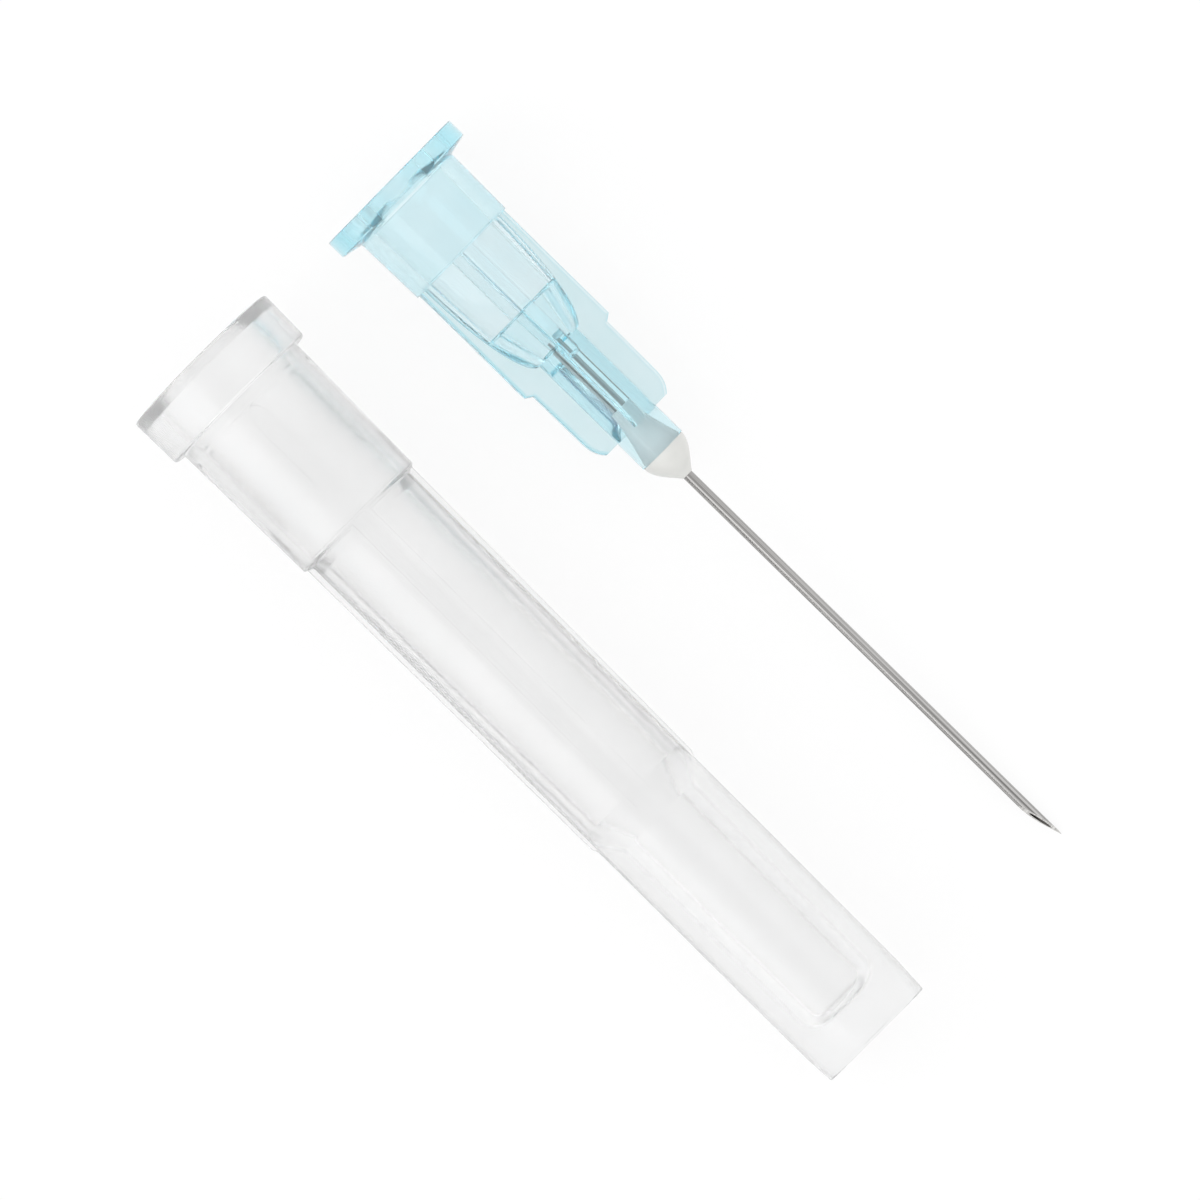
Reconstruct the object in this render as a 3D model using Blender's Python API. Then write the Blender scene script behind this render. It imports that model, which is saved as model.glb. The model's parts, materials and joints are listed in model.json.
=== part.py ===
# A hypodermic needle with its cap taken off, both lying on a table.
# The hub is one clear moulding: a lock flange, a conical socket, a bullet-shaped barrel end, four stepped
# wings and a nose. The steel tube is glued into the nose, and its point is ground as a lancet.
# Metres, +Z up, the table at Z = 0. The needle points along +X and the cap lies on its -Y side.
# Each piece is modelled along X, the needle's from the flange's rear face and the cap's from its mouth.

from math import atan2, cos, pi, radians, sin

import bmesh
import bpy
from mathutils import Matrix, Vector

mm = 0.001

# Lock flange, a disc with two flats whose round ends are the locking lugs
lug_radius = 3.90 * mm
half_across_flats = 3.35 * mm
rim_thickness = 0.93 * mm
rim_slope = 0.22 * mm
rim_chamfer = 0.08 * mm

# Barrel, bullet-shaped barrel end, core and nose
barrel_rear_radius = 2.90 * mm
barrel_front_radius = 2.85 * mm
barrel_end = 4.62 * mm
bullet_radius = 2.42 * mm
bullet_length = 6.10 * mm
core_radius = 1.24 * mm
nose_end = 17.37 * mm
nose_chamfer = 0.05 * mm

# Four wings, tall beside the barrel end and low beside the core
wing_count = 4
wing_thickness = 0.66 * mm
wing_roll = radians(8.0)
wing_edge_round = 0.12 * mm
tall_wing_span = 2.74 * mm
tall_wing_end = 11.26 * mm
wing_step_slope = 0.22 * mm
low_wing_span = 2.41 * mm
low_wing_draft = 0.03 * mm
wing_corner_start = 14.60 * mm
wing_corner_drop = 0.42 * mm
wing_end = 15.70 * mm

# Passage through the hub: 6 % conical socket, funnel, hole for the tube and well for the glue
socket_mouth_radius = 2.15 * mm
socket_taper = 0.06
socket_depth = 8.35 * mm
socket_floor_slope = 0.12 * mm
funnel_radius = 0.86 * mm
funnel_draft = 0.14 * mm
funnel_end = 9.90 * mm
funnel_cone = 0.50 * mm
well_start = 14.60 * mm
well_throat_radius = 0.34 * mm
well_mouth_radius = 0.75 * mm
well_flare = 1.4

# Steel tube, 25 gauge, with its point ground by one long bevel and two side bevels
tube_radius = 0.255 * mm
tube_bore_radius = 0.13 * mm
tube_start = 10.10 * mm
exposed_length = 25.10 * mm
bevel_angle = radians(12.5)
bevel_facing = radians(26.5)
side_bevel_angle = radians(17.0)
side_bevel_turn = radians(38.0)

# Glue, which fills the well and stands as a dome round the tube
dome_radius = 1.20 * mm
dome_length = 1.55 * mm
dome_fullness = 1.15
dome_tip_wall = 0.04 * mm

# Clearances between fitted pieces
tube_clearance = 0.03 * mm
glue_gap = 0.02 * mm
cap_clearance = 0.06 * mm

# Cap: collar round the mouth, sleeve over the wings, ribbed shaft and closed end
capped_at = 2.10 * mm
collar_mouth_radius = 4.14 * mm
collar_front_radius = 4.09 * mm
collar_length = 2.55 * mm
collar_round = 0.16 * mm
mouth_chamfer = 0.12 * mm
sleeve_rear_radius = 3.58 * mm
sleeve_front_radius = 3.47 * mm
sleeve_end = 10.12 * mm
sleeve_step_slope = 0.15 * mm
shaft_rear_radius = 3.09 * mm
shaft_end_radius = 3.02 * mm
end_taper = 0.08 * mm
end_taper_length = 1.70 * mm
end_round = 0.10 * mm
end_wall = 1.94 * mm
gate_radius = 0.90 * mm
gate_depth = 0.15 * mm
rib_count = 4
rib_width = 1.10 * mm
rib_rear_height = 0.22 * mm
rib_front_height = 0.12 * mm
rib_end = 28.43 * mm
rib_end_slope = 0.25 * mm
cap_roll = radians(-3.0)

# Inside of the cap: flared mouth, seat for the barrel, bore for the wings, splines and the narrow bore
flare_depth = 0.60 * mm
flare_width = 0.35 * mm
seat_slope = 0.60 * mm
wing_room = 0.60 * mm
bore_step_slope = 0.20 * mm
mid_bore_front_radius = 2.25 * mm
tail_bore_radius = 1.50 * mm
tail_bore_draft = 0.08 * mm
tail_step_slope = 0.35 * mm
tail_bore_round = 0.50 * mm
point_room = 0.90 * mm
spline_count = 4
spline_width = 0.86 * mm
spline_height = 0.28 * mm
spline_start = 3.19 * mm
spline_nose_length = 1.40 * mm
spline_end = 7.36 * mm
spline_tail_length = 1.30 * mm

# Where the cap lies beside the needle
cap_mouth_ahead = -0.42 * mm
cap_beside = 11.72 * mm
cap_yaw = radians(-0.5)

# Facets round each kind of turned piece, and how far cutters and joined forms run past a surface
hub_segments = 48
cap_segments = 64
tube_segments = 32
curve_steps = 8
round_steps = 3
round_profile = 0.5
overrun = 0.40 * mm
weld = 1e-8

# Sizes that follow from the ones above
bullet_end = barrel_end + bullet_length
tube_hole_radius = tube_radius + tube_clearance
glue_bore_radius = tube_radius + glue_gap
point_at = nose_end + exposed_length
socket_floor_radius = socket_mouth_radius - socket_taper * socket_depth / 2
seat_radius = barrel_rear_radius + cap_clearance
seat_end = barrel_end - capped_at
wing_bore_radius = tall_wing_span + cap_clearance
wing_bore_end = tall_wing_end + wing_step_slope - capped_at + wing_room
mid_bore_rear_radius = low_wing_span + cap_clearance
tail_bore_end = point_at - capped_at + point_room
cap_length = tail_bore_end + end_wall


# Meshes and Booleans

def object_from(name, form):
    bmesh.ops.recalc_face_normals(form, faces=form.faces)
    mesh = bpy.data.meshes.new(name)
    form.to_mesh(mesh)
    form.free()
    made = bpy.data.objects.new(name, mesh)
    bpy.context.scene.collection.objects.link(made)
    return made


def turned(name, section, segments, hollow=False):
    # A section of (along, radius) points, turned once about the X axis
    form = bmesh.new()
    corners = [form.verts.new((along, 0, radius)) for along, radius in section]
    sides = list(zip(corners, corners[1:]))
    if hollow:
        sides.append((corners[-1], corners[0]))
    edges = [form.edges.new(side) for side in sides]
    bmesh.ops.spin(
        form, geom=corners + edges, cent=(0, 0, 0), axis=(1, 0, 0), dvec=(0, 0, 0),
        angle=2 * pi, steps=segments, use_merge=True,
    )
    bmesh.ops.remove_doubles(form, verts=form.verts, dist=weld)
    return object_from(name, form)


def prism(name, outline, low, high):
    # An outline in the XY plane, given a thickness from one height to another
    form = bmesh.new()
    face = form.faces.new([form.verts.new((along, across, low)) for along, across in outline])
    lifted = bmesh.ops.extrude_face_region(form, geom=[face])["geom"]
    corners = [item for item in lifted if isinstance(item, bmesh.types.BMVert)]
    bmesh.ops.translate(form, verts=corners, vec=(0, 0, high - low))
    return object_from(name, form)


def block_beyond(name, point, normal, size):
    # A block with one face through the point, on the side that the normal shows
    form = bmesh.new()
    bmesh.ops.create_cube(form, size=size)
    bmesh.ops.translate(form, verts=form.verts, vec=(0, 0, size / 2))
    turn = Vector((0, 0, 1)).rotation_difference(normal).to_matrix().to_4x4()
    bmesh.ops.transform(form, matrix=Matrix.Translation(point) @ turn, verts=form.verts)
    return object_from(name, form)


def combine(body, tools, operation):
    # Joins the tools to the body, or cuts them out, in one Boolean and keeps only the result
    together = bmesh.new()
    for tool in tools:
        together.from_mesh(tool.data)
        bpy.data.objects.remove(tool)
    tool = object_from("tool", together)
    boolean = body.modifiers.new("boolean", "BOOLEAN")
    boolean.operation = operation
    boolean.solver = "EXACT"
    boolean.object = tool
    bpy.context.view_layer.update()
    result = bpy.data.meshes.new_from_object(body.evaluated_get(bpy.context.evaluated_depsgraph_get()))
    body.modifiers.clear()
    body.data = result
    bpy.data.objects.remove(tool)


def radius_at(section, along):
    # The radius of a section of (along, radius) points at one place along it
    for (start, start_radius), (end, end_radius) in zip(section, section[1:]):
        if start <= along <= end and end > start:
            return start_radius + (end_radius - start_radius) * (along - start) / (end - start)
    return section[-1][1]


def turn_about_axis(body, angle):
    body.data.transform(Matrix.Rotation(angle, 4, "X"))


def finish(body, material, frame):
    # Smooth round faces with crisp edges, the piece's material, and its place under a frame
    body.data.shade_smooth()
    body.data.set_sharp_from_angle(angle=radians(30))
    body.data.materials.clear()
    body.data.materials.append(material)
    body.parent = frame
    return body


# Curves for sections and outlines

def quarter_ellipse(along, radius, length, drop, steps):
    # Leaves its start along the axis and comes to its end square across it
    angles = [step * pi / 2 / steps for step in range(steps + 1)]
    return [(along + length * sin(a), radius - drop * (1 - cos(a))) for a in angles]


def pulled_curve(start, pull, end):
    # A quadratic curve between two points, drawn towards a third
    points = []
    for step in range(curve_steps + 1):
        t = step / curve_steps
        points.append(tuple((1 - t) ** 2 * a + 2 * t * (1 - t) * p + t ** 2 * b
                            for a, p, b in zip(start, pull, end)))
    return points


def glue_well():
    # The well's wall, from its throat to the nose's front face
    length = nose_end - well_start
    shares = [step / curve_steps for step in range(curve_steps + 1)]
    return [(well_start + length * s,
             well_throat_radius + (well_mouth_radius - well_throat_radius) * s ** well_flare)
            for s in shares]


# Materials

def plain_material(name, color, roughness, metallic=0.0, transmission=0.0):
    material = bpy.data.materials.new(name)
    material.use_nodes = True
    shader = material.node_tree.nodes["Principled BSDF"]
    shader.inputs["Base Color"].default_value = (*color, 1)
    shader.inputs["Roughness"].default_value = roughness
    shader.inputs["Metallic"].default_value = metallic
    shader.inputs["Transmission Weight"].default_value = transmission
    material.diffuse_color = (*color, 1)
    return material


# Pieces of the needle

def hub_outside():
    return [
        (0, lug_radius - rim_chamfer),
        (rim_chamfer, lug_radius),
        (rim_thickness, lug_radius),
        (rim_thickness + rim_slope, barrel_rear_radius),
        (barrel_end, barrel_front_radius),
        *quarter_ellipse(barrel_end, bullet_radius, bullet_length, bullet_radius - core_radius, curve_steps),
        (nose_end - nose_chamfer, core_radius),
        (nose_end, core_radius - nose_chamfer),
    ]


def hub_passage():
    return [
        (0, socket_mouth_radius),
        (socket_depth, socket_floor_radius),
        (socket_depth + socket_floor_slope, funnel_radius),
        (funnel_end, funnel_radius - funnel_draft),
        (funnel_end + funnel_cone, tube_hole_radius),
        (well_start, tube_hole_radius),
        *glue_well(),
    ]


def wing_root():
    # The middle of the hub's wall, so that a wing joins it without reaching the passage
    rear = (radius_at(hub_passage(), barrel_end) + bullet_radius) / 2
    stations = (socket_depth, socket_depth + socket_floor_slope, funnel_end, bullet_end, wing_end)
    middle = [(along, (radius_at(hub_passage(), along) + radius_at(hub_outside(), along)) / 2)
              for along in stations]
    return [(barrel_end - overrun, rear), *middle]


def wing(angle):
    low_end_span = low_wing_span - low_wing_draft
    edge = [
        (barrel_end - overrun, tall_wing_span),
        (tall_wing_end, tall_wing_span),
        (tall_wing_end + wing_step_slope, low_wing_span),
        *pulled_curve((wing_corner_start, low_end_span), (wing_end - wing_corner_drop, low_end_span),
                      (wing_end, low_end_span - wing_corner_drop)),
    ]
    root = wing_root()
    plate = prism("wing", edge + root[::-1], -wing_thickness / 2, wing_thickness / 2)
    form = bmesh.new()
    form.from_mesh(plate.data)
    rims = [side for side in form.edges
            if abs(side.verts[0].co.z - side.verts[1].co.z) < weld
            and all(end.co.y > radius_at(root, end.co.x) + weld for end in side.verts)]
    bmesh.ops.bevel(
        form, geom=rims, offset=wing_edge_round, segments=2, profile=round_profile, affect="EDGES",
    )
    form.to_mesh(plate.data)
    form.free()
    turn_about_axis(plate, angle)
    return plate


def make_hub(material, frame):
    hub = turned("hub", hub_outside() + hub_passage()[::-1], hub_segments, hollow=True)
    wings = [wing(2 * pi * index / wing_count - wing_roll) for index in range(wing_count)]
    flats = [block_beyond("flat", (0, 0, side * half_across_flats), Vector((0, 0, side)), 4 * lug_radius)
             for side in (-1, 1)]
    combine(hub, wings, "UNION")
    combine(hub, flats, "DIFFERENCE")
    return finish(hub, material, frame)


def make_cannula(material, frame):
    wall = [
        (tube_start, tube_bore_radius),
        (tube_start, tube_radius),
        (point_at, tube_radius),
        (point_at, tube_bore_radius),
    ]
    cannula = turned("cannula", wall, tube_segments, hollow=True)
    facing = Vector((0, -cos(bevel_facing), sin(bevel_facing)))
    point = Vector((point_at, 0, 0)) - tube_radius * facing
    grinds = ((bevel_angle, 0), (side_bevel_angle, side_bevel_turn), (side_bevel_angle, -side_bevel_turn))
    for slope, turn in grinds:
        outward = Matrix.Rotation(turn, 3, "X") @ facing
        normal = outward * cos(slope) + Vector((sin(slope), 0, 0))
        combine(cannula, [block_beyond("grind", point, normal, exposed_length / 2)], "DIFFERENCE")
    return finish(cannula, material, frame)


def make_adhesive(material, frame):
    filled = [(along, radius - glue_gap) for along, radius in glue_well()]
    dome_start = nose_end + glue_gap
    tip_radius = glue_bore_radius + dome_tip_wall
    dome = []
    for step in range(curve_steps + 1):
        share = step / curve_steps
        height = max(cos(share * pi / 2), 0) ** dome_fullness
        dome.append((dome_start + dome_length * share, tip_radius + (dome_radius - tip_radius) * height))
    section = [
        (well_start, glue_bore_radius),
        *filled[:-1],
        (dome_start, filled[-1][1]),
        *dome,
        (dome_start + dome_length, glue_bore_radius),
    ]
    adhesive = turned("adhesive", section, hub_segments, hollow=True)
    return finish(adhesive, material, frame)


# The cap

def shaft_radius(along):
    share = (along - sleeve_end) / (cap_length - sleeve_end)
    return shaft_rear_radius + (shaft_end_radius - shaft_rear_radius) * share


def shaft_rib(index):
    # Side view of a rib, rooted in the shaft's wall, whose front end slopes down through the surface
    rear, front = shaft_radius(sleeve_end), shaft_radius(rib_end)
    outline = [
        (sleeve_end, rear - rib_rear_height),
        (sleeve_end, rear + rib_rear_height),
        (rib_end - rib_end_slope, front + rib_front_height),
        (rib_end + rib_end_slope, front - rib_front_height),
    ]
    rib = prism("rib", outline, -rib_width / 2, rib_width / 2)
    turn_about_axis(rib, 2 * pi * index / rib_count)
    return rib


def mouth_spline(index):
    # Plan of a spline with a pointed nose towards the mouth, from the bore into the wall
    half = spline_width / 2
    shoulder = spline_start + spline_nose_length
    nose = pulled_curve((spline_start, 0), (spline_start + half / 2, half), (shoulder, half))
    plan = nose + [(spline_end + spline_tail_length, half), (spline_end + spline_tail_length, -half)]
    plan += [(along, -across) for along, across in reversed(nose[1:])]
    top = wing_bore_radius - spline_height
    spline = prism("spline", plan, top, wing_bore_radius + overrun)
    fall = Vector((spline_height, 0, -spline_tail_length)).normalized()
    tail = block_beyond("tail", (spline_end, 0, top), fall, 4 * spline_width)
    combine(spline, [tail], "DIFFERENCE")
    turn_about_axis(spline, 2 * pi * index / spline_count)
    return spline


def make_cap(material, frame):
    taper_start = cap_length - end_taper_length
    outside = [
        (0, seat_radius + flare_width),
        (0, collar_mouth_radius - mouth_chamfer),
        (mouth_chamfer, collar_mouth_radius),
        *quarter_ellipse(collar_length - collar_round, collar_front_radius, collar_round, collar_round,
                         round_steps),
        (collar_length, sleeve_rear_radius),
        (sleeve_end, sleeve_front_radius),
        (sleeve_end + sleeve_step_slope, shaft_radius(sleeve_end + sleeve_step_slope)),
        (taper_start, shaft_radius(taper_start)),
        *quarter_ellipse(cap_length - end_round, shaft_end_radius - end_taper, end_round, end_round,
                         round_steps),
        (cap_length, gate_radius),
        (cap_length - gate_depth, gate_radius / 2),
        (cap_length - gate_depth, 0),
    ]
    cavity = [
        (flare_depth, seat_radius),
        (seat_end, seat_radius),
        (seat_end + seat_slope, wing_bore_radius),
        (wing_bore_end, wing_bore_radius),
        (wing_bore_end + bore_step_slope, mid_bore_rear_radius),
        (rib_end - tail_step_slope / 2, mid_bore_front_radius),
        (rib_end + tail_step_slope / 2, tail_bore_radius),
        *quarter_ellipse(tail_bore_end - tail_bore_round, tail_bore_radius - tail_bore_draft,
                         tail_bore_round, tail_bore_round, round_steps),
        (tail_bore_end, 0),
    ]
    cap = turned("cap", cavity[::-1] + outside, cap_segments)
    combine(cap, [shaft_rib(index) for index in range(rib_count)], "UNION")
    combine(cap, [mouth_spline(index) for index in range(spline_count)], "UNION")
    turn_about_axis(cap, cap_roll)
    return finish(cap, material, frame)


# Rest on the table

def empty(name, parent=None):
    made = bpy.data.objects.new(name, None)
    bpy.context.scene.collection.objects.link(made)
    made.parent = parent
    return made


def corners_of(pieces):
    bpy.context.view_layer.update()
    return [piece.matrix_world @ corner.co for piece in pieces for corner in piece.data.vertices]


def resting_pitch(corners):
    # Seen from the side, the lower hull's edge below the middle is what the piece comes to rest on
    hull = []
    for spot in sorted((corner.x, corner.z) for corner in corners):
        while len(hull) > 1:
            (x0, z0), (x1, z1) = hull[-2:]
            if (x1 - x0) * (spot[1] - z0) > (z1 - z0) * (spot[0] - x0):
                break
            hull.pop()
        hull.append(spot)
    middle = (hull[0][0] + hull[-1][0]) / 2
    rear, front = next((a, b) for a, b in zip(hull, hull[1:]) if a[0] <= middle <= b[0])
    return atan2(front[1] - rear[1], front[0] - rear[0])


def lay_down(frame, pieces):
    frame.rotation_euler.y = resting_pitch(corners_of(pieces))
    frame.location.z -= min(corner.z for corner in corners_of(pieces))


def centre(frame, pieces):
    corners = corners_of(pieces)
    for axis in (0, 1):
        values = [corner[axis] for corner in corners]
        frame.location[axis] -= (min(values) + max(values)) / 2


def build():
    for old in list(bpy.data.objects):
        bpy.data.objects.remove(old)
    table_frame = empty("table_frame")
    needle_frame = empty("needle_frame", table_frame)
    cap_frame = empty("cap_frame", table_frame)

    tinted = plain_material("tinted_polypropylene", (0.36, 0.78, 0.88), 0.18, transmission=0.7)
    steel = plain_material("drawn_steel", (0.62, 0.61, 0.60), 0.22, metallic=1.0)
    glue = plain_material("white_epoxy", (0.78, 0.79, 0.74), 0.35)
    frosted = plain_material("frosted_polypropylene", (0.80, 0.82, 0.83), 0.40, transmission=0.5)

    needle = [
        make_hub(tinted, needle_frame),
        make_cannula(steel, needle_frame),
        make_adhesive(glue, needle_frame),
    ]
    cap = [make_cap(frosted, cap_frame)]
    cap_frame.location = (cap_mouth_ahead, -cap_beside, 0)

    lay_down(needle_frame, needle)
    lay_down(cap_frame, cap)
    cap_frame.rotation_euler.z = cap_yaw
    centre(table_frame, needle + cap)
    bpy.context.view_layer.update()


build()
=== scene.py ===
import json
from math import cos, pi, radians, sin, tan

import bmesh
import bpy
from mathutils import Matrix, Vector


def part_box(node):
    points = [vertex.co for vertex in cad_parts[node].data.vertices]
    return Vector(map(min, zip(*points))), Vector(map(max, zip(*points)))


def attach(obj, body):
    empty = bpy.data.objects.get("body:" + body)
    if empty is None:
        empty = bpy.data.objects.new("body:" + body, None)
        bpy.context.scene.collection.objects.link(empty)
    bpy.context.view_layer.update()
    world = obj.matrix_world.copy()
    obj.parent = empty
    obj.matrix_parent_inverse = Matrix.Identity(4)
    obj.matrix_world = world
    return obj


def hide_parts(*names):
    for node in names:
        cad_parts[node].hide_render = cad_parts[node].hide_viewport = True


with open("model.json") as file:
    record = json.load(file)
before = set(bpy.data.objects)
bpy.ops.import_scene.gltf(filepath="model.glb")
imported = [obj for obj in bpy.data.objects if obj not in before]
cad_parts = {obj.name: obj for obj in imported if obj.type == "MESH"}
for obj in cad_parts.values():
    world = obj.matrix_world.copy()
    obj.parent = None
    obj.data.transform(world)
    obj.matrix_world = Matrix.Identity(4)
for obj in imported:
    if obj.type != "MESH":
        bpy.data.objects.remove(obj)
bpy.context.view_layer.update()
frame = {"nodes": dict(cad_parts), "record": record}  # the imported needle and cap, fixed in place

mm = 0.001  # every piece is shaped in millimetres along X, then laid where the frame says
print("Frame loaded:", sorted(frame["nodes"]))


# Shaping

shapingValues = {
    "leastTurn": 12, "reachShare": 0.45, "weld": 1e-5, "creaseAngle": 32, "overlap": 0.4,
    "sameHeight": 1e-4, "offRoot": 1e-3,
}


def newPiece(name, form):
    mesh = bpy.data.meshes.new(name)
    form.to_mesh(mesh)
    form.free()
    piece = bpy.data.objects.new(name, mesh)
    bpy.context.scene.collection.objects.link(piece)
    return piece


def softCorners(section, usual, steps=4, closed=False):
    # Rounds the corners of a section of (along, radius) or (along, radius, softness) points
    v = shapingValues
    spots = [Vector(point[:2]) for point in section]
    soft = []
    for index, corner in enumerate(spots):
        softness = section[index][2] if len(section[index]) > 2 else usual
        if not closed and index in (0, len(spots) - 1):
            soft.append(corner[:])
            continue
        back = spots[index - 1] - corner
        ahead = spots[(index + 1) % len(spots)] - corner
        turn = back.angle(-ahead)
        if turn < radians(v["leastTurn"]) or softness == 0:
            soft.append(corner[:])
            continue
        reach = min(softness * tan(turn / 2), v["reachShare"] * back.length,
                    v["reachShare"] * ahead.length)
        start, end = corner + back.normalized() * reach, corner + ahead.normalized() * reach
        for step in range(steps + 1):
            t = step / steps
            soft.append(((1 - t) ** 2 * start + 2 * t * (1 - t) * corner + t ** 2 * end)[:])
    return soft


def spun(name, section, segments, hollow=False):
    # A section turned once about the X axis
    form = bmesh.new()
    corners = [form.verts.new((along, 0, radius)) for along, radius in section]
    sides = list(zip(corners, corners[1:])) + ([(corners[-1], corners[0])] if hollow else [])
    edges = [form.edges.new(side) for side in sides]
    bmesh.ops.spin(form, geom=corners + edges, cent=(0, 0, 0), axis=(1, 0, 0), dvec=(0, 0, 0),
                   angle=2 * pi, steps=segments, use_merge=True)
    bmesh.ops.remove_doubles(form, verts=form.verts, dist=shapingValues["weld"])
    bmesh.ops.recalc_face_normals(form, faces=form.faces)
    return newPiece(name, form)


def plate(name, outline, low, high):
    # An outline in the XY plane, lifted from one height to another
    form = bmesh.new()
    face = form.faces.new([form.verts.new((along, across, low)) for along, across in outline])
    lifted = bmesh.ops.extrude_face_region(form, geom=[face])["geom"]
    bmesh.ops.translate(form, verts=[v for v in lifted if isinstance(v, bmesh.types.BMVert)],
                        vec=(0, 0, high - low))
    bmesh.ops.recalc_face_normals(form, faces=form.faces)
    return newPiece(name, form)


def blockBeyond(name, point, normal, size):
    # A block with one face through the point, on the side that the normal shows
    form = bmesh.new()
    bmesh.ops.create_cube(form, size=size)
    bmesh.ops.translate(form, verts=form.verts, vec=(0, 0, size / 2))
    turn = Vector((0, 0, 1)).rotation_difference(normal).to_matrix().to_4x4()
    bmesh.ops.transform(form, matrix=Matrix.Translation(point) @ turn, verts=form.verts)
    return newPiece(name, form)


def joined(piece, tools, operation):
    # Adds the tools to the piece, or cuts them out, in one Boolean
    together = bmesh.new()
    for tool in tools:
        together.from_mesh(tool.data)
        bpy.data.objects.remove(tool)
    tool = newPiece("tool", together)
    cut = piece.modifiers.new("cut", "BOOLEAN")
    cut.operation, cut.solver, cut.object = operation, "EXACT", tool
    bpy.context.view_layer.update()
    result = bpy.data.meshes.new_from_object(piece.evaluated_get(bpy.context.evaluated_depsgraph_get()))
    piece.modifiers.clear()
    piece.data = result
    bpy.data.objects.remove(tool)


def turnPiece(piece, angle):
    piece.data.transform(Matrix.Rotation(angle, 4, "X"))


def radiusAt(section, along):
    for before, after in zip(section, section[1:]):
        if before[0] <= along <= after[0] and after[0] > before[0]:
            return before[1] + (after[1] - before[1]) * (along - before[0]) / (after[0] - before[0])
    return section[-1][1]


def quarterEllipse(along, radius, length, drop, steps):
    angles = [step * pi / 2 / steps for step in range(steps + 1)]
    return [(along + length * sin(a), radius - drop * (1 - cos(a)), 0) for a in angles]


def pulledCurve(start, pull, end, steps=12):
    curve = []
    for step in range(steps + 1):
        t = step / steps
        curve.append(tuple((1 - t) ** 2 * a + 2 * t * (1 - t) * p + t ** 2 * b
                           for a, p, b in zip(start, pull, end)))
    return curve


def layDown(piece, place, materials, body, node, picks=()):
    # Lays a finished piece on the table in place of its CAD node; picks says which material each face has
    piece.data.transform(place @ Matrix.Diagonal((mm, mm, mm, 1)))
    piece.data.shade_smooth()
    piece.data.set_sharp_from_angle(angle=radians(shapingValues["creaseAngle"]))
    piece.data.materials.clear()
    for material in materials:
        piece.data.materials.append(material)
    for face, pick in zip(piece.data.polygons, picks):
        face.material_index = pick
    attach(piece, body)
    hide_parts(node)
    print("Piece laid down:", piece.name, len(piece.data.polygons), "faces")


# Places, read from the frame

mounts = {mount["name"]: mount for mount in frame["record"]["mounts"]}
socketMount = mounts["hub_socket"]
needleAxis = -Vector(socketMount["axis"])
needlePlace = (Matrix.Translation(socketMount["pos_m"])
               @ Vector((1, 0, 0)).rotation_difference(needleAxis).to_matrix().to_4x4())


# Shared finishes

def addNode(tree, kind, **settings):
    node = tree.nodes.new("ShaderNode" + kind)
    for name, value in settings.items():
        if hasattr(node, name):
            setattr(node, name, value)
        else:
            node.inputs[name.replace("_", " ")].default_value = value
    return node


def mouldedSkinGroup():
    # Fine waviness and faint clouding of a moulded or cured surface
    tree = bpy.data.node_groups.new("mouldedSkin", "ShaderNodeTree")
    for name, kind in (("Clouds", "NodeSocketFloat"), ("Waves", "NodeSocketFloat")):
        tree.interface.new_socket(name, in_out="INPUT", socket_type=kind)
    for name in ("Cloud", "Height"):
        tree.interface.new_socket(name, in_out="OUTPUT", socket_type="NodeSocketFloat")
    given, out = tree.nodes.new("NodeGroupInput"), tree.nodes.new("NodeGroupOutput")
    where = addNode(tree, "TexCoord")
    clouds = addNode(tree, "TexNoise", Detail=3.0, Roughness=0.55)
    waves = addNode(tree, "TexNoise", Detail=2.0, Roughness=0.6)
    for noise, size in ((clouds, "Clouds"), (waves, "Waves")):
        tree.links.new(where.outputs["Object"], noise.inputs["Vector"])
        tree.links.new(given.outputs[size], noise.inputs["Scale"])
    tree.links.new(clouds.outputs["Fac"], out.inputs["Cloud"])
    tree.links.new(waves.outputs["Fac"], out.inputs["Height"])
    return tree


def drawnLinesGroup():
    # Fine lines along a drawn or ground surface, each its own shade
    tree = bpy.data.node_groups.new("drawnLines", "ShaderNodeTree")
    tree.interface.new_socket("Vector", in_out="INPUT", socket_type="NodeSocketVector")
    tree.interface.new_socket("Scale", in_out="INPUT", socket_type="NodeSocketFloat")
    for name in ("Line", "Height"):
        tree.interface.new_socket(name, in_out="OUTPUT", socket_type="NodeSocketFloat")
    given, out = tree.nodes.new("NodeGroupInput"), tree.nodes.new("NodeGroupOutput")
    lines = addNode(tree, "TexNoise", Detail=4.0, Roughness=0.7)
    tree.links.new(given.outputs["Vector"], lines.inputs["Vector"])
    tree.links.new(given.outputs["Scale"], lines.inputs["Scale"])
    tree.links.new(lines.outputs["Fac"], out.inputs["Line"])
    tree.links.new(lines.outputs["Fac"], out.inputs["Height"])
    return tree


mouldedSkin = mouldedSkinGroup()
drawnLines = drawnLinesGroup()


def newMaterial(name, **settings):
    material = bpy.data.materials.new(name)
    material.use_nodes = True
    shader = material.node_tree.nodes["Principled BSDF"]
    for socket, value in settings.items():
        shader.inputs[socket.replace("_", " ")].default_value = value
    return material, material.node_tree, shader


def addGroup(tree, group, **settings):
    node = tree.nodes.new("ShaderNodeGroup")
    node.node_tree = group
    for name, value in settings.items():
        node.inputs[name].default_value = value
    return node


def spread(tree, source, low, high, target):
    # Sends a 0 to 1 mask to a socket as a range of values
    ranged = addNode(tree, "MapRange", To_Min=low, To_Max=high)
    tree.links.new(source, ranged.inputs["Value"])
    tree.links.new(ranged.outputs["Result"], target)


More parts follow.
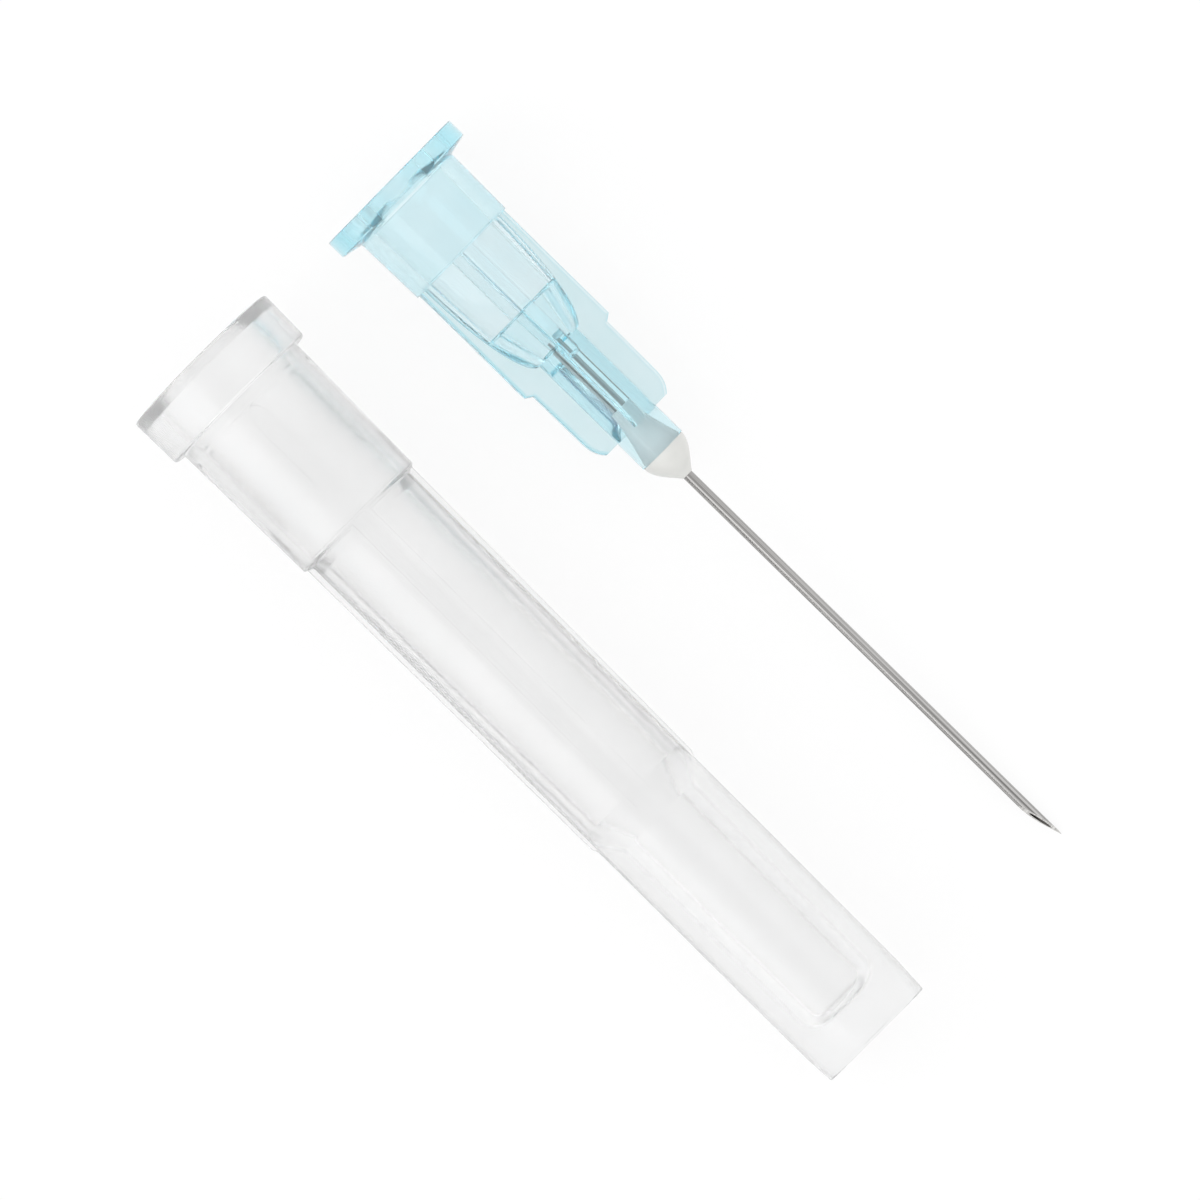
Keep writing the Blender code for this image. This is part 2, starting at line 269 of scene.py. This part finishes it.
def tinted(tree, source, first, second, target, low=0.35, high=0.65):
    # Sends a mask to a colour socket as a blend of two colours
    ramp = addNode(tree, "ValToRGB")
    ramp.color_ramp.elements[0].position, ramp.color_ramp.elements[1].position = low, high
    ramp.color_ramp.elements[0].color, ramp.color_ramp.elements[1].color = (*first, 1), (*second, 1)
    tree.links.new(source, ramp.inputs["Fac"])
    tree.links.new(ramp.outputs["Color"], target)


def bumped(tree, source, shader, strength, distance):
    bump = addNode(tree, "Bump", Strength=strength, Distance=distance)
    tree.links.new(source, bump.inputs["Height"])
    tree.links.new(bump.outputs["Normal"], shader.inputs["Normal"])


def clearPlastic(name, v, clear, cloud):
    # Moulded plastic with a faintly clouded skin and a tint that deepens with its thickness
    material, tree, shader = newMaterial(name, IOR=v["ior"], Transmission_Weight=v["transmission"])
    skin = addGroup(tree, mouldedSkin, Clouds=v["clouds"], Waves=v["waves"])
    tinted(tree, skin.outputs["Cloud"], clear, cloud, shader.inputs["Base Color"])
    spread(tree, skin.outputs["Cloud"], *v["roughness"], shader.inputs["Roughness"])
    bumped(tree, skin.outputs["Height"], shader, v["bump"], v["bumpHeight"])
    depth = addNode(tree, "VolumeAbsorption", Color=(*v["depthTint"], 1), Density=v["depthDensity"])
    tree.links.new(depth.outputs["Volume"], tree.nodes["Material Output"].inputs["Volume"])
    return material


# Hub

hubValues = {
    "lugRadius": 3.90, "acrossFlats": 6.70,
    "rim": 0.93, "rimSlope": 0.22, "rimRound": 0.10, "rimFillet": 0.10,
    "barrelRear": 2.90, "barrelFront": 2.85, "barrelEnd": 4.62, "bulletRadius": 2.42, "bulletLength": 6.10,
    "bulletSteps": 32, "core": 1.24, "noseEnd": 17.37,
    "wings": 4, "wingThickness": 0.66, "wingRoll": 8.0, "wingEdgeRound": 0.14, "wingEdgeSteps": 4,
    "tallSpan": 2.74, "tallEnd": 11.26, "stepSlope": 0.22, "lowSpan": 2.41, "lowDraft": 0.03,
    "cornerStart": 14.60, "cornerDrop": 0.42, "wingEnd": 15.70,
    "socketMouth": 2.15, "socketTaper": 0.06, "socketDepth": 8.35, "floorSlope": 0.04,
    "funnel": 1.32, "funnelDraft": 0.44, "funnelEnd": 10.40, "funnelCone": 0.06,
    "wellStart": 14.60, "wellThroat": 0.34, "wellMouth": 0.75, "wellFlare": 1.4,
    "edgeSoftness": 0.06, "segments": 160,
    "clearTint": (0.93, 0.978, 0.99), "cloudTint": (0.90, 0.968, 0.985),
    # The next two tints are a darker copy of the clear tints, painted shade on the wings' flat sides
    "shadedWingTint": (0.80, 0.905, 0.93), "shadedWingCloud": (0.75, 0.885, 0.91),
    "depthTint": (0.0, 0.80, 0.94), "depthDensity": 120.0,
    "transmission": 0.94, "roughness": (0.05, 0.10), "ior": 1.49,
    "clouds": 420.0, "waves": 2600.0, "bump": 0.04, "bumpHeight": 0.00003,
    "pastBarrel": 0.05, "pastOutside": 0.02, "sideways": 0.3,
}


def wellWall(steps=20):
    v = hubValues
    length = v["noseEnd"] - v["wellStart"]
    shares = [step / steps for step in range(steps + 1)]
    return [(v["wellStart"] + length * s,
             v["wellThroat"] + (v["wellMouth"] - v["wellThroat"]) * s ** v["wellFlare"], 0) for s in shares]


def hubOutside():
    v = hubValues
    return [
        (0, v["lugRadius"]),
        (v["rim"], v["lugRadius"], v["rimRound"]),
        (v["rim"] + v["rimSlope"], v["barrelRear"], v["rimFillet"]),
        (v["barrelEnd"], v["barrelFront"]),
        *quarterEllipse(v["barrelEnd"], v["bulletRadius"], v["bulletLength"],
                        v["bulletRadius"] - v["core"], v["bulletSteps"]),
        (v["noseEnd"], v["core"]),
    ]


def hubPassage(tubeRadius):
    v = hubValues
    floorRadius = v["socketMouth"] - v["socketTaper"] * v["socketDepth"] / 2
    return [
        (0, v["socketMouth"]),
        (v["socketDepth"], floorRadius),
        (v["socketDepth"] + v["floorSlope"], v["funnel"]),
        (v["funnelEnd"], v["funnel"] - v["funnelDraft"]),
        (v["funnelEnd"] + v["funnelCone"], tubeRadius, 0),
        (v["wellStart"], tubeRadius, 0),
        *wellWall(),
    ]


def wingPlate(angle, tubeRadius):
    v = hubValues
    lowEnd = v["lowSpan"] - v["lowDraft"]
    rear = v["barrelEnd"] - shapingValues["overlap"]
    edge = [(rear, v["tallSpan"]), (v["tallEnd"], v["tallSpan"]),
            (v["tallEnd"] + v["stepSlope"], v["lowSpan"]),
            *pulledCurve((v["cornerStart"], lowEnd), (v["wingEnd"] - v["cornerDrop"], lowEnd),
                         (v["wingEnd"], lowEnd - v["cornerDrop"]))]
    passage, outside = hubPassage(tubeRadius), hubOutside()
    stations = (v["socketDepth"], v["socketDepth"] + v["floorSlope"], v["funnelEnd"],
                v["barrelEnd"] + v["bulletLength"], v["wingEnd"])
    root = [(rear, (radiusAt(passage, v["barrelEnd"]) + v["bulletRadius"]) / 2)]
    root += [(x, (radiusAt(passage, x) + radiusAt(outside, x)) / 2) for x in stations]
    half = v["wingThickness"] / 2
    wing = plate("wing", edge + root[::-1], -half, half)
    form = bmesh.new()
    form.from_mesh(wing.data)
    rims = [side for side in form.edges
            if abs(side.verts[0].co.z - side.verts[1].co.z) < shapingValues["sameHeight"]
            and all(end.co.y > radiusAt(root, end.co.x) + shapingValues["offRoot"] for end in side.verts)]
    bmesh.ops.bevel(form, geom=rims, offset=v["wingEdgeRound"], segments=v["wingEdgeSteps"],
                    profile=0.5, affect="EDGES", material=-1)
    form.to_mesh(wing.data)
    form.free()
    turnPiece(wing, angle)
    return wing


def onWingSide(face, outside):
    v = hubValues
    return (face.center.x > v["barrelEnd"] + v["pastBarrel"]
            and face.center.yz.length > radiusAt(outside, face.center.x) + v["pastOutside"]
            and abs(face.normal.yz.dot(face.center.yz.normalized())) < v["sideways"]
            and abs(face.normal.x) < v["sideways"])


def makeHub():
    v = hubValues
    embedded = tubeValues["radius"] - tubeValues["bedding"]
    section = softCorners(hubOutside() + hubPassage(embedded)[::-1], v["edgeSoftness"], closed=True)
    hub = spun("hubMoulding", section, v["segments"], hollow=True)
    wings = [wingPlate(2 * pi * index / v["wings"] - radians(v["wingRoll"]), embedded)
             for index in range(v["wings"])]
    half = v["acrossFlats"] / 2
    flats = [blockBeyond("flat", (0, 0, side * half), Vector((0, 0, side)), 4 * v["lugRadius"])
             for side in (-1, 1)]
    joined(hub, wings, "UNION")
    joined(hub, flats, "DIFFERENCE")
    outside = hubOutside()
    picks = [int(onWingSide(face, outside)) for face in hub.data.polygons]
    # One moulding; the second, darker tint on the wings' flat sides is painted shade.
    plastics = [clearPlastic("tintedPolypropylene", v, v["clearTint"], v["cloudTint"]),
                clearPlastic("shadedWingSides", v, v["shadedWingTint"], v["shadedWingCloud"])]
    layDown(hub, needlePlace, plastics, "needle", "hub", picks)


# Tube

tubeValues = {
    "radius": 0.255, "bore": 0.13, "start": 10.10, "exposed": 25.10,
    "bedding": 0.006,  # plastic and glue grip the tube by this much, with no film of air
    "bevel": 12.5, "facing": 26.5, "sideBevel": 17.0, "sideTurn": 38.0, "segments": 96,
    "onGrind": 0.995, "onBore": 0.5, "drawnStretch": 250, "groundStretch": 10,
    "drawnLines": 9000.0, "groundLines": 16000.0, "lineEdges": (0.38, 0.62), "bump": 0.2,
    "bumpHeight": 0.000008,
    "darkLine": (0.20, 0.195, 0.19), "paleLine": (0.60, 0.59, 0.58), "drawnRough": (0.24, 0.4),
    "groundDark": (0.42, 0.41, 0.40), "groundPale": (0.78, 0.77, 0.75), "groundRough": (0.15, 0.28),
    # The bore's near-black colour is painted shade inside the narrow bore, not a different steel
    "boreShade": (0.10, 0.095, 0.09), "boreRough": (0.5, 0.6),
}


def drawnSteel(name, dark, pale, lineSpace, scale, roughness):
    # Steel with fine lines; lineSpace turns the pattern to lie along them and stretches it
    v = tubeValues
    material, tree, shader = newMaterial(name, Metallic=1.0)
    where = addNode(tree, "TexCoord")
    along = addNode(tree, "Mapping", vector_type="TEXTURE", Rotation=lineSpace["turn"],
                    Scale=lineSpace["stretch"])
    lines = addGroup(tree, drawnLines, Scale=scale)
    tree.links.new(where.outputs["Object"], along.inputs["Vector"])
    tree.links.new(along.outputs["Vector"], lines.inputs["Vector"])
    tinted(tree, lines.outputs["Line"], dark, pale, shader.inputs["Base Color"], *v["lineEdges"])
    spread(tree, lines.outputs["Line"], *roughness, shader.inputs["Roughness"])
    bumped(tree, lines.outputs["Height"], shader, v["bump"], v["bumpHeight"])
    return material


def steelOf(face, grindNormals):
    # 0 on the drawn outside, 1 on a ground bevel, 2 in the bore, where the steel is painted dark as shade
    v = tubeValues
    if any(face.normal.dot(normal) > v["onGrind"] for normal in grindNormals):
        return 1
    inside = face.center.yz.length < (v["radius"] + v["bore"]) / 2
    return 2 if inside and abs(face.normal.x) < v["onBore"] else 0


def makeTube():
    v = tubeValues
    point = hubValues["noseEnd"] + v["exposed"]
    wall = [(v["start"], v["bore"]), (v["start"], v["radius"]), (point, v["radius"]), (point, v["bore"])]
    tube = spun("needleTube", wall, v["segments"], hollow=True)
    facing = Vector((0, -cos(radians(v["facing"])), sin(radians(v["facing"]))))
    tip = Vector((point, 0, 0)) - v["radius"] * facing
    grinds = ((v["bevel"], 0), (v["sideBevel"], v["sideTurn"]), (v["sideBevel"], -v["sideTurn"]))
    normals = []
    for slope, turn in grinds:
        outward = Matrix.Rotation(radians(turn), 3, "X") @ facing
        normals.append(outward * cos(radians(slope)) + Vector((sin(radians(slope)), 0, 0)))
        joined(tube, [blockBeyond("grind", tip, normals[-1], v["exposed"] / 2)], "DIFFERENCE")
    pitch = needleAxis.angle(Vector((1, 0, 0)))
    lengthways = {"turn": (0, pitch, 0), "stretch": (v["drawnStretch"], 1, 1)}
    crossways = {"turn": (0, pitch, 0), "stretch": (1, v["groundStretch"], v["groundStretch"])}
    steels = [
        drawnSteel("drawnSteel", v["darkLine"], v["paleLine"], lengthways, v["drawnLines"],
                   v["drawnRough"]),
        drawnSteel("groundSteel", v["groundDark"], v["groundPale"], crossways, v["groundLines"],
                   v["groundRough"]),
        # The bore steel takes the near-black colour twice, painted shade inside the bore
        drawnSteel("shadedBoreSteel", v["boreShade"], v["boreShade"], lengthways, v["drawnLines"],
                   v["boreRough"]),
    ]
    picks = [steelOf(face, normals) for face in tube.data.polygons]
    layDown(tube, needlePlace, steels, "needle", "cannula", picks)


# Glue

glueValues = {
    "domeRadius": 1.20, "domeLength": 1.55, "domeFullness": 1.15, "domeSteps": 24, "tipWall": 0.05,
    "wetting": 0.012,  # the glue reaches this far into the wall of its well
    "noseGap": 0.01, "domeInset": 0.06, "tipEnd": 0.02, "segments": 128,
    "pale": (0.74, 0.74, 0.715), "shade": (0.70, 0.705, 0.68),
    # The well's lighter glue colours are painted light, not the glue's own colour
    "litWellPale": (0.99, 0.99, 0.985), "litWellDim": (0.98, 0.98, 0.975),
    "coat": 0.15, "coatRough": 0.2, "clouds": 900.0, "waves": 1800.0, "roughness": (0.32, 0.5),
    "bump": 0.25, "bumpHeight": 0.00004,
}


def makeGlue():
    v = glueValues
    start = hubValues["noseEnd"]
    tube = tubeValues["radius"] - tubeValues["bedding"]
    tip = tube + v["tipWall"]
    dome = []
    for step in range(v["domeSteps"] + 1):
        share = step / v["domeSteps"]
        height = max(cos(share * pi / 2), 0) ** v["domeFullness"]
        dome.append((start + v["domeLength"] * share, tip + (v["domeRadius"] - tip) * height, 0))
    section = [(hubValues["wellStart"], tube, 0),
               *[(along, radius + v["wetting"], 0) for along, radius, _ in wellWall()[:-1]],
               (start + v["noseGap"], wellWall()[-1][1], 0),
               (start + v["noseGap"], v["domeRadius"] - v["domeInset"], 0),
               *dome, (start + v["domeLength"] + v["tipEnd"], tube, 0)]
    glue = spun("glueDome", softCorners(section, 0, closed=True), v["segments"], hollow=True)
    picks = [int(face.center.x < start) for face in glue.data.polygons]
    # Faces inside the well take the lighter copy of the glue, painted light
    glues = [curedGlue("whiteGlue", v["shade"], v["pale"]),
             curedGlue("litWellGlue", v["litWellDim"], v["litWellPale"])]
    layDown(glue, needlePlace, glues, "needle", "adhesive", picks)


def curedGlue(name, shade, pale):
    # The dome in the air keeps the glue's own colour; the glue in the well gets a lighter copy, painted
    # light that makes up for the light reaching it too weakly through the plastic
    v = glueValues
    material, tree, shader = newMaterial(name, Coat_Weight=v["coat"], Coat_Roughness=v["coatRough"])
    skin = addGroup(tree, mouldedSkin, Clouds=v["clouds"], Waves=v["waves"])
    tinted(tree, skin.outputs["Cloud"], shade, pale, shader.inputs["Base Color"])
    spread(tree, skin.outputs["Cloud"], *v["roughness"], shader.inputs["Roughness"])
    bumped(tree, skin.outputs["Height"], shader, v["bump"], v["bumpHeight"])
    return material


# Cap

capValues = {
    "pitch": 1.56, "yaw": -0.5, "roll": -3.0,
    "collarMouth": 4.14, "collarFront": 4.09, "collarLength": 2.55, "collarRound": 0.16, "mouthRound": 0.14,
    "sleeveRear": 3.58, "sleeveFront": 3.47, "sleeveEnd": 10.12, "sleeveSlope": 0.18, "sleeveRound": 0.14,
    "shaftRear": 3.09, "shaftEnd": 3.02, "endTaper": 0.08, "endTaperLength": 1.70, "endRound": 0.10,
    "length": 43.21, "gate": 0.90, "gateDepth": 0.15,
    "ribs": 4, "ribWidth": 1.10, "ribRear": 0.22, "ribFront": 0.12, "ribEnd": 28.43, "ribSlope": 0.25,
    "flareDepth": 0.60, "flareWidth": 0.35, "seatRadius": 2.96, "seatEnd": 2.52, "seatSlope": 0.60,
    "wingBore": 2.80, "wingBoreEnd": 9.98, "boreStep": 0.80, "midRear": 2.47, "midFront": 2.25,
    "tailBore": 1.50, "tailDraft": 0.08, "tailSlope": 1.70, "tailRound": 0.90, "tailEnd": 41.27,
    "splines": 4, "splineWidth": 0.86, "splineHeight": 0.28, "splineStart": 3.19,
    "splineNose": 1.40, "splineEnd": 7.36, "splineTail": 1.30,
    "edgeSoftness": 0.05, "cornerSoftness": 0.12, "roundSteps": 8, "segments": 160,
    "clear": (0.988, 0.988, 0.988), "cloud": (0.978, 0.979, 0.979),
    "depthTint": (0.84, 0.86, 0.87), "depthDensity": 10.0,
    "transmission": 0.93, "roughness": (0.16, 0.24), "ior": 1.49,
    "clouds": 300.0, "waves": 2200.0, "bump": 0.05, "bumpHeight": 0.00003,
}


def shaftRadius(along):
    v = capValues
    share = (along - v["sleeveEnd"]) / (v["length"] - v["sleeveEnd"])
    return v["shaftRear"] + (v["shaftEnd"] - v["shaftRear"]) * share


def shaftRib(index):
    v = capValues
    rear, front = shaftRadius(v["sleeveEnd"]), shaftRadius(v["ribEnd"])
    outline = [(v["sleeveEnd"], rear - v["ribRear"]), (v["sleeveEnd"], rear + v["ribRear"]),
               (v["ribEnd"] - v["ribSlope"], front + v["ribFront"]),
               (v["ribEnd"] + v["ribSlope"], front - v["ribFront"])]
    rib = plate("rib", outline, -v["ribWidth"] / 2, v["ribWidth"] / 2)
    turnPiece(rib, 2 * pi * index / v["ribs"])
    return rib


def mouthSpline(index):
    v = capValues
    half = v["splineWidth"] / 2
    shoulder = v["splineStart"] + v["splineNose"]
    tail = v["splineEnd"] + v["splineTail"]
    nose = pulledCurve((v["splineStart"], 0), (v["splineStart"] + half / 2, half), (shoulder, half))
    plan = nose + [(tail, half), (tail, -half)]
    plan += [(along, -across) for along, across in reversed(nose[1:])]
    top = v["wingBore"] - v["splineHeight"]
    spline = plate("spline", plan, top, v["wingBore"] + shapingValues["overlap"])
    fall = Vector((v["splineHeight"], 0, -v["splineTail"])).normalized()
    cutter = blockBeyond("tail", (v["splineEnd"], 0, top), fall, 4 * v["splineWidth"])
    joined(spline, [cutter], "DIFFERENCE")
    turnPiece(spline, 2 * pi * index / v["splines"])
    return spline


def makeCap():
    v = capValues
    taperStart = v["length"] - v["endTaperLength"]
    shaftStart = v["sleeveEnd"] + v["sleeveSlope"]
    outside = [
        (0, v["seatRadius"] + v["flareWidth"]),
        (0, v["collarMouth"], v["mouthRound"]),
        *quarterEllipse(v["collarLength"] - v["collarRound"], v["collarFront"], v["collarRound"],
                        v["collarRound"], v["roundSteps"]),
        (v["collarLength"], v["sleeveRear"], v["cornerSoftness"]),
        (v["sleeveEnd"], v["sleeveFront"], v["sleeveRound"]),
        (shaftStart, shaftRadius(shaftStart), v["sleeveRound"]),
        (taperStart, shaftRadius(taperStart)),
        *quarterEllipse(v["length"] - v["endRound"], v["shaftEnd"] - v["endTaper"], v["endRound"],
                        v["endRound"], v["roundSteps"]),
        (v["length"], v["gate"]),
        (v["length"] - v["gateDepth"], v["gate"] / 2),
        (v["length"] - v["gateDepth"], 0),
    ]
    cavity = [
        (v["flareDepth"], v["seatRadius"]),
        (v["seatEnd"], v["seatRadius"]),
        (v["seatEnd"] + v["seatSlope"], v["wingBore"]),
        (v["wingBoreEnd"], v["wingBore"]),
        (v["wingBoreEnd"] + v["boreStep"], v["midRear"]),
        (v["ribEnd"] - v["tailSlope"] / 2, v["midFront"], v["cornerSoftness"]),
        (v["ribEnd"] + v["tailSlope"] / 2, v["tailBore"], v["cornerSoftness"]),
        *quarterEllipse(v["tailEnd"] - v["tailRound"], v["tailBore"] - v["tailDraft"], v["tailRound"],
                        v["tailRound"], v["roundSteps"]),
        (v["tailEnd"], 0),
    ]
    section = softCorners(cavity[::-1] + outside, v["edgeSoftness"])
    cap = spun("needleCap", section, v["segments"])
    joined(cap, [shaftRib(index) for index in range(v["ribs"])], "UNION")
    joined(cap, [mouthSpline(index) for index in range(v["splines"])], "UNION")
    turnPiece(cap, radians(v["roll"]))
    lie = Matrix.Rotation(radians(v["yaw"]), 4, "Z") @ Matrix.Rotation(radians(v["pitch"]), 4, "Y")
    low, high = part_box("cap")
    corners = [lie @ (corner.co * mm) for corner in cap.data.vertices]
    middle = [(min(c[axis] for c in corners) + max(c[axis] for c in corners)) / 2 for axis in range(3)]
    place = Matrix.Translation((low + high) / 2 - Vector(middle)) @ lie
    plastic = clearPlastic("frostedPolypropylene", v, v["clear"], v["cloud"])
    layDown(cap, place, [plastic], "cap", "cap")


# Table, light and camera

stageValues = {
    "tableSize": 3.0, "tableColor": (0.98, 0.98, 0.98), "shadowShare": 0.12,
    "horizon": 1.0, "zenith": 0.97, "innerBounces": 40,
    "lampPlace": (-0.10, -0.26, 0.22), "lampSize": 0.34, "lampPower": 0.45,
    "cameraDistance": 0.75, "cameraLens": 495.6, "cameraTurn": 44.41, "cameraLean": 3.0,
    "aimFromFlange": (0.019905, -0.00683), "cameraSensor": 36.0, "cameraClip": (0.01, 10.0),
}


def makeTable():
    v = stageValues
    form = bmesh.new()
    bmesh.ops.create_grid(form, x_segments=1, y_segments=1, size=v["tableSize"] / 2)
    table = newPiece("table", form)
    material = bpy.data.materials.new("whiteTable")
    material.use_nodes = True
    tree = material.node_tree
    tree.nodes.clear()
    matt = addNode(tree, "BsdfDiffuse", Color=(*v["tableColor"], 1))
    white = addNode(tree, "Emission", Strength=1.0)
    path = addNode(tree, "LightPath")
    seen = addNode(tree, "Math", operation="ADD", use_clamp=True)
    seenThrough = addNode(tree, "Math", operation="ADD", use_clamp=True)
    share = addNode(tree, "Math", operation="MULTIPLY")
    share.inputs[1].default_value = 1 - v["shadowShare"]
    mixed, out = addNode(tree, "MixShader"), addNode(tree, "OutputMaterial")
    tree.links.new(path.outputs["Is Camera Ray"], seen.inputs[0])
    tree.links.new(path.outputs["Is Glossy Ray"], seen.inputs[1])
    tree.links.new(seen.outputs[0], seenThrough.inputs[0])
    tree.links.new(path.outputs["Is Transmission Ray"], seenThrough.inputs[1])
    tree.links.new(seenThrough.outputs[0], share.inputs[0])
    tree.links.new(share.outputs[0], mixed.inputs["Fac"])
    tree.links.new(matt.outputs[0], mixed.inputs[1])
    tree.links.new(white.outputs[0], mixed.inputs[2])
    tree.links.new(mixed.outputs[0], out.inputs["Surface"])
    table.data.materials.append(material)


def makeLight():
    v = stageValues
    world = bpy.data.worlds.new("paleRoom")
    bpy.context.scene.world = world
    world.use_nodes = True
    tree = world.node_tree
    background = tree.nodes["Background"]
    where, split = addNode(tree, "TexCoord"), addNode(tree, "SeparateXYZ")
    fade = addNode(tree, "MapRange", To_Min=v["horizon"], To_Max=v["zenith"])
    tree.links.new(where.outputs["Generated"], split.inputs["Vector"])
    tree.links.new(split.outputs["Z"], fade.inputs["Value"])
    tree.links.new(fade.outputs["Result"], background.inputs["Strength"])
    background.inputs["Color"].default_value = (1, 1, 1, 1)
    data = bpy.data.lights.new("softLamp", "AREA")
    data.size, data.energy = v["lampSize"], v["lampPower"]
    lamp = bpy.data.objects.new("softLamp", data)
    bpy.context.scene.collection.objects.link(lamp)
    lamp.location = v["lampPlace"]
    lamp.rotation_euler = (-Vector(v["lampPlace"])).to_track_quat("-Z", "Y").to_euler()
    light = bpy.context.scene.cycles  # light that is turned back inside clear plastic still gets out
    light.max_bounces = light.transmission_bounces = v["innerBounces"]
    light.glossy_bounces = light.diffuse_bounces = v["innerBounces"]


def makeCamera():
    v = stageValues
    data = bpy.data.cameras.new("camera")
    data.lens, data.sensor_width = v["cameraLens"], v["cameraSensor"]
    data.clip_start, data.clip_end = v["cameraClip"]
    camera = bpy.data.objects.new("camera", data)
    bpy.context.scene.collection.objects.link(camera)
    aim = (Vector(socketMount["pos_m"]).xy + Vector(v["aimFromFlange"])).to_3d()
    lean = Matrix.Rotation(radians(v["cameraLean"]), 3, "Y")
    camera.location = aim + lean @ Vector((0, 0, v["cameraDistance"]))
    camera.rotation_euler = (lean @ Matrix.Rotation(radians(v["cameraTurn"]), 3, "Z")).to_euler()
    bpy.context.scene.camera = camera


makeCamera()
makeTable()
makeLight()
bpy.context.scene.view_settings.view_transform = "Standard"
print("Table, light and camera ready")
makeHub()
makeTube()
makeGlue()
makeCap()
